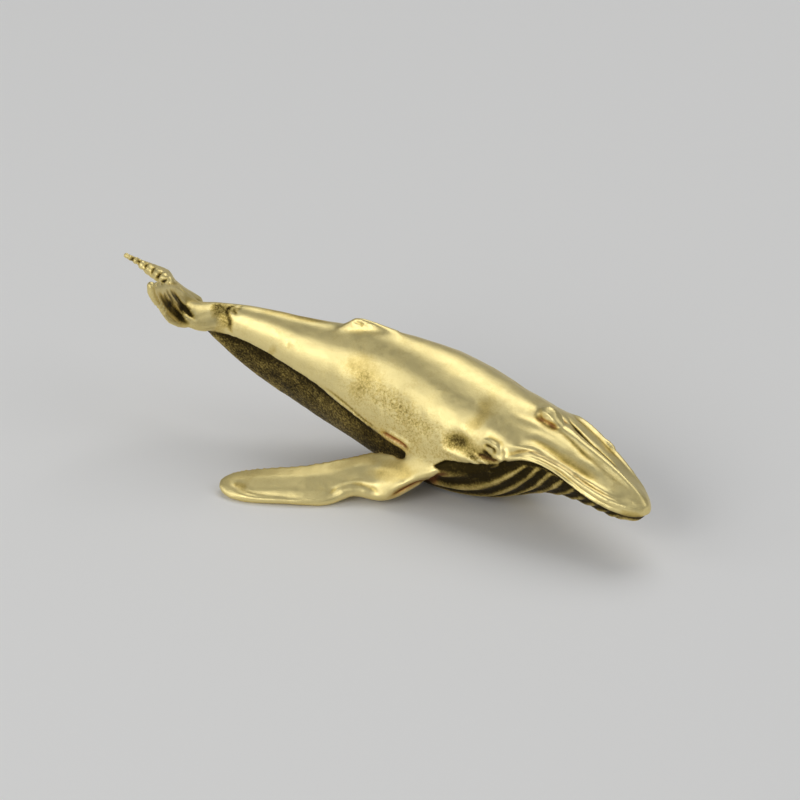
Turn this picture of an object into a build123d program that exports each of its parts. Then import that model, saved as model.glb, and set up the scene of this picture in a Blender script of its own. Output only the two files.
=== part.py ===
from build123d import *
from math import cos, pi, radians, sin
import os

# A small solid brass humpback whale that lies on its belly and on its two swept-back flippers.
# It is made of five castings, brazed together: the back, the belly, two flippers and the flukes.
# +X points to the head, +Y to the whale's left and +Z up. All lengths are in millimetres.
# The origin is on the flat that is ground on the belly, below the shoulders.

# Spine of the body, seen from above: it bows to the whale's left between the snout and the tail.
# Rows: place from the tail to the snout, distance to the right of the crest of the bow
snout_x = 30.0
tail_root_x = -36.2
bow_crest_y = 0.6
body_bow = 7.2
spine_shares = [
    (1.0, 1.0),
    (0.88, 0.65),
    (0.76, 0.39),
    (0.61, 0.15),
    (0.46, 0.0),
    (0.30, 0.08),
    (0.14, 0.32),
    (0.0, 0.65),
]

# Body sections
body_half_width = 8.2
back_height = 19.0
belly_rest_depth = 0.35

# Rows: place on the spine from the snout, half width, height of the back, height of the edge
# where the two castings meet and height of the belly as shares of the back's height there,
# squareness above and below, strength of the rostrum's relief, depth of the throat's pleats,
# gathering of the pleats towards the lips
body_shares = [
    (0.000, 0.08, 0.43, 0.82, 0.765, 1.00, 1.00, 0.0, 0.0, 3.0),
    (0.012, 0.20, 0.47, 0.75, 0.655, 1.00, 1.00, 0.3, 0.2, 3.0),
    (0.040, 0.34, 0.52, 0.715, 0.54, 1.10, 1.00, 0.8, 0.8, 3.0),
    (0.100, 0.51, 0.59, 0.74, 0.485, 1.20, 0.95, 1.0, 1.0, 2.7),
    (0.170, 0.63, 0.665, 0.815, 0.413, 1.25, 0.90, 1.0, 1.0, 2.2),
    (0.240, 0.75, 0.745, 0.76, 0.30, 1.20, 0.88, 0.7, 1.0, 1.6),
    (0.300, 0.85, 0.80, 0.60, 0.155, 1.10, 0.88, 0.3, 1.0, 1.2),
    (0.360, 0.94, 0.84, 0.51, 0.055, 1.05, 0.88, 0.0, 1.0, 1.0),
    (0.430, 1.00, 0.895, 0.45, 0.0, 1.00, 0.88, 0.0, 0.9, 1.0),
    (0.500, 1.00, 0.95, 0.39, 0.0, 1.00, 0.88, 0.0, 0.6, 1.0),
    (0.580, 0.90, 0.98, 0.415, 0.024, 1.05, 0.95, 0.0, 0.25, 1.0),
    (0.660, 0.77, 0.99, 0.49, 0.117, 1.12, 1.05, 0.0, 0.0, 1.0),
    (0.740, 0.61, 0.97, 0.62, 0.223, 1.15, 1.10, 0.0, 0.0, 1.0),
    (0.820, 0.46, 0.98, 0.71, 0.347, 1.15, 1.10, 0.0, 0.0, 1.0),
    (0.900, 0.32, 1.00, 0.78, 0.495, 1.05, 1.10, 0.0, 0.0, 1.0),
    (0.960, 0.25, 1.00, 0.82, 0.658, 1.00, 1.00, 0.0, 0.0, 1.0),
    (1.000, 0.22, 1.00, 0.825, 0.797, 1.00, 1.00, 0.0, 0.0, 1.0),
]

# Relief of the rostrum across one side: the lip bead and the groove above it, a second ridge,
# the hollow flank and the ridge down the middle. Rows: place across the side, relief
rostrum_relief = 0.45
relief_full_share = 0.5
rostrum_shares = [
    (1.00, 0.0),
    (0.99, 0.7),
    (0.95, -0.5),
    (0.87, 0.8),
    (0.76, -0.1),
    (0.55, -0.6),
    (0.25, -0.45),
    (0.05, 0.9),
]

# Throat pleats, from one jaw round under the belly to the other
pleat_count = 10
pleat_depth = 0.5
pleat_full_share = 0.67

# Braze between the castings, and the belly's set-back under the edge of the back
braze_gap = 0.05
edge_ledge = 0.4
ledge_limit_share = 0.33

# Six-sided pegs on the belly that locate the back, between two shares of the back's height
peg_radius = 1.3
peg_sides = 6
peg_foot_share = 0.28
peg_top_share = 0.65
peg_place_shares = [0.40, 0.64]

# Blowhole mound: a long low swelling with its high end to the rear, on the crest of the head
blowhole_place_share = 0.235
blowhole_length = 5.5
blowhole_radius = 1.3
blowhole_rise_share = 1.0
blowhole_tilt = 24.0

# Rows: place along the mound from its rear end, radius
blowhole_shares = [
    (0.0, 0.15),
    (0.10, 0.65),
    (0.28, 1.0),
    (0.55, 0.85),
    (1.0, 0.12),
]
blowhole_sides = 8

# Dorsal fin: a low fin with a long foot and its tip raked to the rear
fin_place_share = 0.64
fin_length = 9.0
fin_thickness = 1.8
fin_foot_share = 0.925
fin_height = 2.4
fin_rake = 2.6
fin_top_length = 1.6
fin_top_thickness = 0.4

# Corners of a lens round its middle, in half lengths and half thicknesses
lens_shares = [
    (1.0, 0.0),
    (0.6, 0.75),
    (0.0, 1.0),
    (-0.6, 0.6),
    (-1.0, 0.0),
    (-0.6, -0.6),
    (0.0, -1.0),
    (0.6, -0.75),
]

# Eyes: flat-topped domes that stand out of the sides of the head
eye_place_share = 0.31
eye_radius = 0.75
eye_sides = 8
eye_side_share = 0.78
eye_depth = 0.9
eye_taper = 25.0
eye_rise_share = 0.735

# The floor to which the rest faces are ground, as a block under them
ground_length = 120.0
ground_depth = 5.0

# Flippers: the right one is drawn, and the left one is its mirror image about the shoulders
flipper_place_share = 0.465
flipper_side_share = 0.856
flipper_sweep = 24.3
flipper_length = 27.1
flipper_chord = 6.5
flipper_lift = 7.0
flipper_thickness = 2.6
shoulder_share = 0.48

# Rows: place along the flipper, place and height of the leading edge, place and height of the
# trailing edge, thickness. The knob and the notch of the leading edge are at a fifth and a third.
flipper_shares = [
    (-0.14, 0.08, 0.84, -0.10, 1.00, 0.60),
    (-0.07, 0.14, 0.68, -0.02, 1.00, 0.95),
    (0.00, 0.18, 0.50, 0.02, 0.98, 1.10),
    (0.11, 0.28, 0.24, -0.09, 0.91, 1.10),
    (0.20, 0.30, 0.10, -0.35, 0.84, 1.00),
    (0.29, 0.26, 0.12, -0.49, 0.74, 0.92),
    (0.35, 0.27, 0.15, -0.46, 0.68, 0.86),
    (0.44, 0.40, 0.03, -0.40, 0.61, 0.85),
    (0.56, 0.48, 0.01, -0.30, 0.53, 0.80),
    (0.78, 0.48, 0.01, -0.29, 0.42, 0.72),
    (0.89, 0.43, 0.02, -0.30, 0.34, 0.62),
    (0.96, 0.31, 0.05, -0.24, 0.26, 0.48),
    (1.00, 0.12, 0.14, -0.09, 0.19, 0.22),
]

# Blade of a flipper or fluke. Rows: place along the chord from the leading edge, height in half
# thicknesses
blade_shares = [
    (0.0, 0.0),
    (0.06, 0.65),
    (0.3, 1.0),
    (0.65, 0.85),
    (1.0, 0.0),
    (0.6, -0.7),
    (0.12, -0.6),
]
flipper_tenon_length = 4.2
flipper_tenon_width = 2.0
flipper_tenon_height = 1.8
flipper_tenon_out = -0.6
flipper_tenon_up = 5.4

# Flukes: they swing to the whale's right, pitch up and roll with the right lobe high
fluke_heading = 31.0
fluke_pitch = 49.7
fluke_roll = 18.8
fluke_half_span = 9.0
fluke_length = 10.7
fluke_thickness = 1.6
fluke_start = 1.1

# The tips curl down, and the leading edges dip in the middle, the right one more than the left one
fluke_curl = 1.8
fluke_dip = 0.6
fluke_twist = 2.6

# Rows: place out along the lobe, leading edge, trailing edge, dip of the leading edge, thickness
lobe_shares = [
    (0.00, 0.02, 0.54, 0.0, 1.00),
    (0.17, 0.0, 0.57, 0.65, 0.95),
    (0.39, 0.22, 0.64, 1.0, 0.85),
    (0.61, 0.49, 0.75, 0.85, 0.70),
    (0.83, 0.76, 0.88, 0.42, 0.50),
    (0.95, 0.90, 0.965, 0.13, 0.32),
    (1.00, 0.96, 1.00, 0.03, 0.18),
]

# Stem between the end of the tail stock and the two lobes
stem_steps = 4
stem_length = 3.4
stem_sides = 8
stem_spread = 1.2
stem_flat_half_height = 0.75
fluke_tenon_length = 4.0
fluke_tenon_half_width = 0.8
fluke_tenon_half_height = 0.7
fluke_tenon_rise = 0.35


def section_plane(share, height=0):
    """The upright plane across the spine, with x to the whale's right and y up."""
    centre = backbone.position_at(share)
    along = backbone.tangent_at(share)
    across = along.cross(Vector(0, 0, -1))
    return Plane(origin=(centre.X, centre.Y, height), x_dir=across, z_dir=along)


def crest_z(place):
    """Height of the back over a place on the spine, in straight lines between the table's rows."""
    places = [row[0] for row in body_shares]
    after = max(1, sum(1 for row_place in places if row_place < place))
    low, high = body_shares[after - 1], body_shares[after]
    blend = (place - low[0]) / (high[0] - low[0])
    return back_height * (low[2] + (high[2] - low[2]) * blend)


def arch_rise(side, squareness):
    """Height of a half superellipse of unit size at a place across it, from 0 to 1."""
    return (1 - abs(side) ** (2 / squareness)) ** (squareness / 2)


def pushed(across, up, half_width, base, rise, push):
    """A point of an arch, pushed out of it by a small relief."""
    slope = Vector(across / half_width**2, (up - base) / rise**2)
    out = slope.normalized() * push
    return across + out.X, up + out.Y


def fade(half_width, full_share):
    """How much of the relief is left where the body is narrower than a share of its full width."""
    return min(1, half_width / (body_half_width * full_share))


def back_outline(row):
    """The back's section: the arch with the rostrum's relief, over the line of the joint."""
    place, width, top, edge, bottom, square_above, square_below, relief, pleats, gather = row
    half_width = body_half_width * width
    base = back_height * top * edge
    rise = back_height * top - base
    right_side = []
    for side, lift in rostrum_shares:
        across = half_width * side
        up = base + rise * arch_rise(side, square_above)
        push = rostrum_relief * relief * lift * fade(half_width, relief_full_share)
        right_side.append(pushed(across, up, half_width, base, rise, push))
    left_side = [(-across, up) for across, up in reversed(right_side)]
    return right_side + left_side


def belly_outline(row):
    """The belly's section: a pleated arch under the line of the joint."""
    place, width, top, edge, bottom, square_above, square_below, relief, pleats, gather = row
    half_width = body_half_width * width
    half_width = half_width - min(edge_ledge, half_width * ledge_limit_share)
    base = back_height * top * edge - braze_gap
    keel = back_height * top * bottom - belly_rest_depth
    rise = keel - base
    depth = pleat_depth * pleats * fade(half_width, pleat_full_share)
    right_side = []
    for step in range(pleat_count + 1):
        from_lip = step / pleat_count
        angle = pi / 2 * from_lip**gather
        across = half_width * cos(angle)
        up = base + rise * sin(angle) ** square_below
        spread = min(1, gather * from_lip ** (gather - 1))
        push = -depth * spread if step % 2 else 0
        right_side.append(pushed(across, up, half_width, base, rise, push))
    left_side = [(-across, up) for across, up in reversed(right_side[:-1])]
    return right_side + left_side


def flipper_plane(share):
    """The upright plane across the right flipper, with x towards its leading edge and y up."""
    sweep = radians(flipper_sweep)
    outward = Vector(-cos(sweep), -sin(sweep))
    side = section_plane(flipper_place_share)
    root = side.origin + side.x_dir * (body_half_width * flipper_side_share)
    centre = root + outward * (flipper_length * share)
    return Plane(origin=centre, x_dir=(sin(sweep), -cos(sweep), 0), z_dir=outward)


def blade_outline(lead, trail, thickness, grow):
    """A blade's section between its two edges, grown all round for a socket."""
    chord = trail - lead
    along = chord.normalized()
    over = Vector(along.Y, -along.X)
    start = lead - along * grow
    length = chord.length + 2 * grow
    half = thickness / 2 + grow
    points = [start + along * (length * place) + over * (half * up) for place, up in blade_shares]
    return [(point.X, point.Y) for point in points]


def flipper_solid(grow):
    """The right flipper with its tenon, grown all round by a clearance for its socket."""
    with BuildPart() as flipper:
        for place, lead, lead_up, trail, trail_up, thickness in flipper_shares:
            leading = Vector(flipper_chord * lead, flipper_lift * lead_up)
            trailing = Vector(flipper_chord * trail, flipper_lift * trail_up)
            outline = blade_outline(leading, trailing, flipper_thickness * thickness, grow)
            with BuildSketch(flipper_plane(place)):
                with BuildLine():
                    Polyline(*outline, close=True)
                make_face()
        loft()
        with BuildSketch(flipper_plane(0)):
            with Locations((flipper_tenon_out, flipper_tenon_up)):
                Rectangle(flipper_tenon_width + 2 * grow, flipper_tenon_height + 2 * grow)
        extrude(amount=-flipper_tenon_length - grow)
    return flipper.part


def fluke_frame(blend):
    """Directions to the tail, to the whale's right and up, turned from the spine to the flukes."""
    tail_end = backbone.tangent_at(1)
    tail_right = tail_end.cross(Vector(0, 0, -1))
    start_heading = Vector(-1, 0, 0).get_signed_angle(tail_end, Vector(0, 0, 1))
    turn = (fluke_heading - start_heading) * blend
    tail = tail_end.rotate(Axis.Z, turn)
    right = tail_right.rotate(Axis.Z, turn)
    tail = tail.rotate(Axis((0, 0, 0), right), -fluke_pitch * blend)
    right = right.rotate(Axis((0, 0, 0), tail), fluke_roll * blend)
    return tail, right, tail.cross(right)


def oval_outline(half_width, half_height):
    """The corners of the stem's oval section."""
    turns = [2 * pi * side / stem_sides for side in range(stem_sides)]
    return [(half_width * cos(turn), half_height * sin(turn)) for turn in turns]


def fluke_tenon(grow):
    """The flukes' tenon into the tail stock, grown by a clearance for its socket."""
    tail, right, up = fluke_frame(0)
    half_width = fluke_tenon_half_width + grow
    half_height = fluke_tenon_half_height + grow
    start = stem_root + up * fluke_tenon_rise + tail * braze_gap
    with BuildPart() as tenon:
        with BuildSketch(Plane(origin=start, x_dir=right, z_dir=tail)):
            Rectangle(2 * half_width, 2 * half_height)
        extrude(amount=-fluke_tenon_length - grow)
    return tenon.part


def peg_pair(grow):
    """The two upright pegs on the middle line, grown by a clearance for their sockets."""
    with BuildPart() as pegs:
        for share in peg_place_shares:
            centre = backbone.position_at(share)
            foot = crest_z(share) * peg_foot_share
            with BuildSketch(Plane(origin=(centre.X, centre.Y, foot))):
                RegularPolygon(peg_radius + grow, peg_sides)
            extrude(amount=crest_z(share) * peg_top_share + grow - foot)
    return pegs.part


def blowhole_mound():
    """The mound of the blowholes, lofted along a line that leans down to the snout."""
    crest = section_plane(blowhole_place_share, crest_z(blowhole_place_share) * blowhole_rise_share)
    forward = -crest.z_dir
    forward = forward.rotate(Axis((0, 0, 0), crest.x_dir), -blowhole_tilt)
    start = crest.origin - forward * (blowhole_length / 2)
    with BuildPart() as mound:
        for place, swell in blowhole_shares:
            centre = start + forward * (blowhole_length * place)
            with BuildSketch(Plane(origin=centre, x_dir=crest.x_dir, z_dir=forward)):
                RegularPolygon(blowhole_radius * swell, blowhole_sides)
        loft()
    return mound.part


def lens_outline(length, thickness):
    """The corners of a lens of a length and a thickness."""
    return [(length / 2 * along, thickness / 2 * across) for along, across in lens_shares]


def dorsal_fin():
    """The low fin, lofted from a long lens on the back to a short one that is raked back."""
    foot = section_plane(fin_place_share, crest_z(fin_place_share) * fin_foot_share)
    top = foot.origin + foot.z_dir * fin_rake + Vector(0, 0, fin_height)
    with BuildPart() as fin:
        with BuildSketch(Plane(origin=foot.origin, x_dir=-foot.z_dir, z_dir=(0, 0, 1))):
            with BuildLine():
                Polyline(*lens_outline(fin_length, fin_thickness), close=True)
            make_face()
        with BuildSketch(Plane(origin=top, x_dir=-foot.z_dir, z_dir=(0, 0, 1))):
            with BuildLine():
                Polyline(*lens_outline(fin_top_length, fin_top_thickness), close=True)
            make_face()
        loft()
    return fin.part


def ground_block():
    """The space under the floor, which the rest faces are ground to."""
    with BuildPart() as ground:
        with BuildSketch(Plane.XY.offset(-ground_depth)):
            Rectangle(ground_length, ground_length)
        extrude(amount=ground_depth)
    return ground.part


with BuildLine() as spine:
    spine_points = []
    for along_share, bow_share in spine_shares:
        spine_x = tail_root_x + (snout_x - tail_root_x) * along_share
        spine_points.append((spine_x, bow_crest_y - body_bow * bow_share))
    Spline(*spine_points)
backbone = spine.edges()[0]

shoulder = section_plane(shoulder_share)
middle_plane = Plane(origin=shoulder.origin, z_dir=shoulder.x_dir)

# The end of the tail stock, which the stem of the flukes meets
tail_end = backbone.position_at(1)
tail_shares = body_shares[-1]
tail_top = back_height * tail_shares[2]
tail_bottom = tail_top * tail_shares[4] - belly_rest_depth
stem_half_width = body_half_width * tail_shares[1]
stem_half_height = (tail_top - tail_bottom) / 2
stem_root = Vector(tail_end.X, tail_end.Y, (tail_top + tail_bottom) / 2)

# Right flipper, ground flat where it rests
with BuildPart() as right_flipper:
    add(flipper_solid(0))
    add(ground_block(), mode=Mode.SUBTRACT)

# Left flipper
with BuildPart() as left_flipper:
    mirror(right_flipper.part, about=middle_plane)

# Sockets of both flippers, through the joint of the back and the belly
with BuildPart() as flipper_sockets:
    add(flipper_solid(braze_gap))
    mirror(flipper_solid(braze_gap), about=middle_plane)

# Back casting: rostrum, back and tail stock, with the blowhole mound, the dorsal fin and the eyes
with BuildPart() as back_casting:
    for row in body_shares:
        with BuildSketch(section_plane(row[0])):
            with BuildLine():
                Polyline(*back_outline(row), close=True)
            make_face()
    loft()
    add(blowhole_mound())
    add(dorsal_fin())
    head = section_plane(eye_place_share, crest_z(eye_place_share) * eye_rise_share)
    for hand in (1, -1):
        outward = head.x_dir * hand
        eye_centre = head.origin + outward * (body_half_width * eye_side_share)
        with BuildSketch(Plane(origin=eye_centre, x_dir=head.z_dir, z_dir=outward)):
            RegularPolygon(eye_radius, eye_sides)
        extrude(amount=eye_depth, taper=eye_taper)
    add(flipper_sockets.part, mode=Mode.SUBTRACT)
    add(peg_pair(braze_gap), mode=Mode.SUBTRACT)
    add(fluke_tenon(braze_gap), mode=Mode.SUBTRACT)

# Belly casting: lower jaw, pleated throat and belly with its two pegs, ground flat where it rests
with BuildPart() as belly_casting:
    for row in body_shares:
        with BuildSketch(section_plane(row[0])):
            with BuildLine():
                Polyline(*belly_outline(row), close=True)
            make_face()
    loft()
    add(peg_pair(0))
    add(flipper_sockets.part, mode=Mode.SUBTRACT)
    add(ground_block(), mode=Mode.SUBTRACT)

# Tail flukes: a stem that turns from the tail stock to the two lobes, and its tenon
with BuildPart() as tail_flukes:
    stem_end = stem_root
    for step in range(stem_steps + 1):
        blend = step / stem_steps
        tail, right, up = fluke_frame(blend)
        stem_end = stem_end + tail * (stem_length / stem_steps if step else braze_gap)
        half_width = stem_half_width + stem_spread * blend
        half_height = stem_half_height + (stem_flat_half_height - stem_half_height) * blend
        with BuildSketch(Plane(origin=stem_end, x_dir=right, z_dir=tail)):
            with BuildLine():
                Polyline(*oval_outline(half_width, half_height), close=True)
            make_face()
    loft()
    lobe_start = stem_root + backbone.tangent_at(1) * fluke_start
    for hand in (1, -1):
        for out, lead, trail, dip, thickness in lobe_shares:
            centre = lobe_start + right * (hand * fluke_half_span * out)
            curl = -fluke_curl * out**2
            lead_drop = (fluke_dip + hand * fluke_twist) * dip
            leading = Vector(fluke_length * lead, curl - lead_drop)
            trailing = Vector(fluke_length * trail, curl)
            outline = blade_outline(leading, trailing, fluke_thickness * thickness, 0)
            with BuildSketch(Plane(origin=centre, x_dir=tail, z_dir=-right)):
                with BuildLine():
                    Polyline(*outline, close=True)
                make_face()
        loft()
    add(fluke_tenon(0))

os.makedirs("parts", exist_ok=True)
back_casting.part.label = "back_casting"
belly_casting.part.label = "belly_casting"
right_flipper.part.label = "right_flipper"
left_flipper.part.label = "left_flipper"
tail_flukes.part.label = "tail_flukes"
export_step(back_casting.part, "parts/back_casting.step")
export_step(belly_casting.part, "parts/belly_casting.step")
export_step(right_flipper.part, "parts/right_flipper.step")
export_step(left_flipper.part, "parts/left_flipper.step")
export_step(tail_flukes.part, "parts/tail_flukes.step")
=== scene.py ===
from math import pi

import bmesh
import bpy
import numpy as np
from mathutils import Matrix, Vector, noise
from mathutils.bvhtree import BVHTree


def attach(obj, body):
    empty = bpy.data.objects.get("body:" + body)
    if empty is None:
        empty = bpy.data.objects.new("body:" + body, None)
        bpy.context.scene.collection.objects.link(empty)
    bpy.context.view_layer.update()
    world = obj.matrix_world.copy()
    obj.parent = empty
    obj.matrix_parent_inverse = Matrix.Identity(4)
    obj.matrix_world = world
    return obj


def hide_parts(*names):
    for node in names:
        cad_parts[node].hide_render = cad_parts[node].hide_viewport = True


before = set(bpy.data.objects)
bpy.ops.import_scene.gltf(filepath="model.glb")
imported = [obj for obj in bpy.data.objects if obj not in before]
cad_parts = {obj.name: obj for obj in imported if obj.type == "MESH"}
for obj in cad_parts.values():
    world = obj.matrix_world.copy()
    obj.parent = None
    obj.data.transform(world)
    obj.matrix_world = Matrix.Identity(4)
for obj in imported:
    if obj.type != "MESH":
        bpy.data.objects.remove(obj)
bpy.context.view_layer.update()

# The whale is sculpted as one skin of cast brass and then cut apart into its castings.
# The skin is worked in millimetres, with +X to the head, +Y to the whale's left and +Z up.
millimetre = 0.001
corner_digits = 4
rows_at_once = 20000
castings = ["back_casting", "belly_casting", "right_flipper", "left_flipper", "tail_flukes"]
casting_slots = ["back", "belly", "flippers", "flippers", "flukes"]
back, belly, right_flipper, left_flipper, flukes = range(len(castings))

# Camera of the photograph: its place, the point that it looks at, its lens and its picture
camera_place = (190.4, -345.8, 225.0)
camera_target = (-7.75, -2.68, 11.25)
camera_lens = 156.0
camera_sensor = 36.0
picture_size = 800

# Skin
skin_voxel = 0.15
smoothing_step = 0.5
evening_step = 0.52
even_rounds = 6
soften_rounds = 12
fillet_reach = 1.4
fillet_depth = 0.5
shoulder_depth = 0.95
web_depth = 0.55
rope_depth = 0.22
flipper_depth = 0.32
back_depth = 0.9
throat_depth = 0.9
area_blur = 0.5
throat_blur = 0.4
throat_blur_strength = 2.0

# Smoothing round a form, full up to the first distance from it and none from the second
web_fade = (0.3, 1.8)
fin_fade = (0.2, 1.6)
fin_softness = 0.7
bead_fade = (0.15, 0.8)
shoulder_fade = (0.3, 2.2)

# Smoothing of the back: where it comes in and weakens along the spine, and comes in over the rim
swell_front = (0.24, 0.34)
swell_rear = (0.60, 0.85)
swell_rear_kept = 0.25
rim_fade = (0.3, 2.0)

# Smoothing of the throat: where it ends along the spine
throat_end = (0.55, 0.65)

# Spine of the body, from the snout to the end of the tail stock
spine_front = 30.2
spine_rear = -36.2
spine_steps = 600
spine_degree = 7
spine_slices = 60
slice_half = 0.9
front_margin = 0.6
rear_margin = 0.2
rim_steps = 80
rim_ends = (0.01, 0.99)
rim_slice = 0.02

# Shoulder over a flipper. Each corner: place on the spine, distance out from it, height
shoulder_corners = [
    (0.335, 6.6, 8.6),
    (0.42, 7.2, 9.3),
    (0.50, 7.2, 8.3),
    (0.36, 6.2, 6.0),
    (0.50, 6.2, 6.0),
    (0.415, 8.6, 5.4),
    (0.455, 9.9, 4.5),
    (0.49, 9.3, 5.6),
    (0.51, 8.2, 6.6),
]

# Flukes and their ropes and webs: points in millimetres, outlines in pixels of the photograph
far_rope = [
    (-49.8, -3.0, 22.0),
    (-48.2, -3.1, 21.7),
    (-45.9, -3.4, 21.1),
    (-44.0, -3.8, 20.8),
    (-41.9, -4.7, 20.9),
]
far_rope_radii = [0.44, 0.55, 0.82, 0.92, 0.75]
far_rope_beads = 9
bead_corners = 90
near_rope = [(-37.9, -14.7, 25.5), (-37.8, -14.8, 24.6), (-37.7, -14.0, 23.0), (-37.7, -12.1, 20.5)]
near_rope_radii = [0.50, 0.52, 0.45, 0.35]
near_rope_beads = 11
lobe_web_outline = [(153, 285), (157, 282), (164, 284), (173, 287), (182, 293), (176, 306), (160, 300)]
lobe_web_point = (-37.7, -14.0, 23.1)
lobe_web_normal = (0.922, 0.282, 0.265)
lobe_web_thickness = 0.7
root_web_corners = [
    (-36.3, -7.6, 16.1),
    (-34.8, -6.7, 15.7),
    (-37.5, -9.4, 17.9),
    (-37.4, -8.2, 17.0),
    (-33.8, -5.6, 16.4),
    (-34.2, -4.6, 18.5),
    (-36.4, -4.7, 18.9),
    (-38.2, -5.7, 19.2),
    (-38.7, -6.9, 19.3),
    (-36.0, -5.6, 15.8),
]
fluke_outline = [
    (120, 246), (150, 258), (165, 272), (174, 280), (185, 289), (195, 294), (205, 299), (215, 301),
]
fluke_outline_ends = (168, 176, 206, 212)
fluke_outline_kept = 0.15
fluke_outline_front = -34.2

# Dorsal fin: its low front edge and its short rear edge
fin_top_outline = [(344, 323), (355, 317.5), (361, 316.5), (372, 320), (388, 327)]
fin_foot_outline = [(338, 326), (400, 332), (378, 334), (350, 331)]
fin_point = (-15.2, 0.0, 19.7)
fin_normal = (0.22, -0.975, 0.0)
fin_top_thickness = 0.6
fin_foot_thickness = 1.4

# Throat: its pleats start at the lip one after the other and sweep back under the belly
throat_edge = ((0.0, 0.10, 0.20, 0.30, 0.40, 0.60), (7.2, 8.8, 10.3, 9.9, 9.3, 8.6))
pleat_first = 0.292
pleat_step = 0.028
pleat_turn = 0.065
pleat_keel_place = 0.10
pleat_depth = 0.34
pleat_front = 0.03
pleat_rear = (0.42, 0.58)
pleat_first_fade = (-0.4, 0.2)
pleat_keel_fade = (0.86, 0.97)
pleat_edge_fade = (0.02, 0.10)
pleat_search_start = -0.6
pleat_search_steps = 24
pleat_sharpness = 1.3
pleat_middle = 0.45
# The throat between the pleats is painted dark as shade, and the pleat ridges get painted highlights
pleat_painted_shade = 0.72
pleat_ridge_painted_highlight = 0.44
pleat_ridge_sharpness = 2.5
undercut_fade = (0.4, 1.7)
undercut_end = (0.44, 0.5)
undercut_blur = 0.2
undercut_depth = 0.30
# Painted shadow in the undercut under the lip
undercut_painted_shadow = 0.7

# Eyes: the domes of the solids are softened to low swells. Place on the spine, distance out, height
eye_place = (0.31, 7.5, 10.9)
eye_reach = (0.8, 2.0)
eye_depth = 0.65

# Relief: what the lines of the photograph may raise at the most, and how finely it is blurred
highest_lift = 0.36
highest_left_lift = 0.26
lift_blur = 0.07

# Lines of the relief, with the reach and the length that tapers in widths of the line
smooth_path_points = 24
path_blur_points = 11
path_spacing = 1.0
stroke_reach = 2.5
tapered_length = 4
usual_taper = 0.25
taper_start = -0.02

# Unevenness of hand-worked wax. Waves: height and size in millimetres, seed
hand_waves = [(0.085, 5.5, 1), (0.045, 2.2, 2)]
wave_shift = (17.3, 5.1, 9.7)

# Grain of the mould. Waves: what shows where there is no grain, height, size, seed
grain_waves = [(0.4, 0.022, 0.9, 3), (0.0, 0.020, 0.42, 4)]
side_grain = 0.7
side_grain_front = (0.30, 0.42)
side_grain_rear = (0.62, 0.74)
side_grain_slope = (-0.75, -0.1)
belly_grain = 0.3
belly_rear_grain = 0.35
belly_rear = (0.42, 0.6)
grain_blur = 0.3

# Tarnish, painted shade and shine. Hollows: width and full depth. Waves: strength, size in millimetres,
# seed
hollow_sizes = [(0.35, 0.05), (1.0, 0.22)]
# Patina and painted shade in the hollows
hollow_patina_and_shade = 0.55
edge_shine = 0.3
# The belly is darkened with patina and painted shade, more towards the tail
belly_patina_and_shade = 0.22
belly_rear_patina_and_shade = 0.5
# Painted shadow under the lip
lip_painted_shadow = 0.10
lip_shadow_fade = (0.3, 2.5)
# Painted shade on the faces that turn down
underside_painted_shade = 0.30
belly_underside_painted_shade = 0.05
underside_slope = (-0.45, 0.5)
tarnish_waves = [(0.16, 6.0, 5), (0.10, 1.6, 6)]
pleat_waves = (0.2, 1.8, 7)
tint_blur = 0.12

# Cutting the skin into its castings, and closing each towards points inside it
label_rounds = 6
label_hold = 0.34
closing_points = 25
closing_ends = (0.02, 0.98)

# Brass. Tones from rubbed bright to dark with tarnish and painted shade: place on the ramp and colour
brass_tones = [
    (0.0, (0.88, 0.74, 0.34, 1)),
    (0.25, (0.74, 0.58, 0.21, 1)),
    (0.5, (0.45, 0.34, 0.095, 1)),
    (0.75, (0.16, 0.115, 0.03, 1)),
    (1.0, (0.040, 0.028, 0.008, 1)),
]
braze_colour = (0.50, 0.21, 0.075, 1)

# Brass of each slot: name, how much darker and how much rougher it is than the back's
slot_brass = {
    "back": ("rubbed_brass", 0.0, 0.0),
    # The belly's brass is darker with patina and painted shade
    "belly": ("belly_brass_patina_and_shade", 0.05, 0.08),
    "flippers": ("flipper_brass", 0.0, 0.02),
    "flukes": ("fluke_brass", 0.05, 0.04),
}

# Noise of the brass. Each: size in millimetres, detail, roughness
cloud_noise = (2.6, 4.0, 0.6)
speckle_noise = (0.30, 3.0, 0.7)
satin_noise = (0.8, 3.0, 0.6)
pitted_noise = (0.22, 4.0, 0.65)
brushed_noise = (0.07, 2.0, 0.6)
noise_ends = (0.3, 0.7)
speckle_ends = (0.32, 0.68)
cloud_strength = 0.07
speckle_strength = 0.30
least_speckle = 0.22
polished_roughness = 0.39
tarnished_roughness = 0.55
satin_roughness = (-0.05, 0.07)
pit_depth = 0.06
pit_strengths = (0.30, 0.85)
brush_depth = 0.018
brush_strength = 0.6

# Studio: floor, lamps and light from all round. Lamps: name, place and size in metres, power
floor_size = 6.0
floor_colour = (0.86, 0.855, 0.84, 1)
floor_roughness = 0.8
lamps = [
    ("key", (-0.08, 0.42, 0.74), 0.75, 2.2),
    ("side", (-0.55, -0.42, 0.38), 0.50, 0.75),
    ("front", (-0.10, -0.64, 0.36), 0.42, 1.45),
    ("fill", (0.62, 0.05, 0.50), 0.60, 0.8),
]
lamp_target = (0, 0, 0.01)
sky_colour = (0.9, 0.92, 0.95, 1)
sky_strength = 0.24
nearest_seen = 0.01


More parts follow.
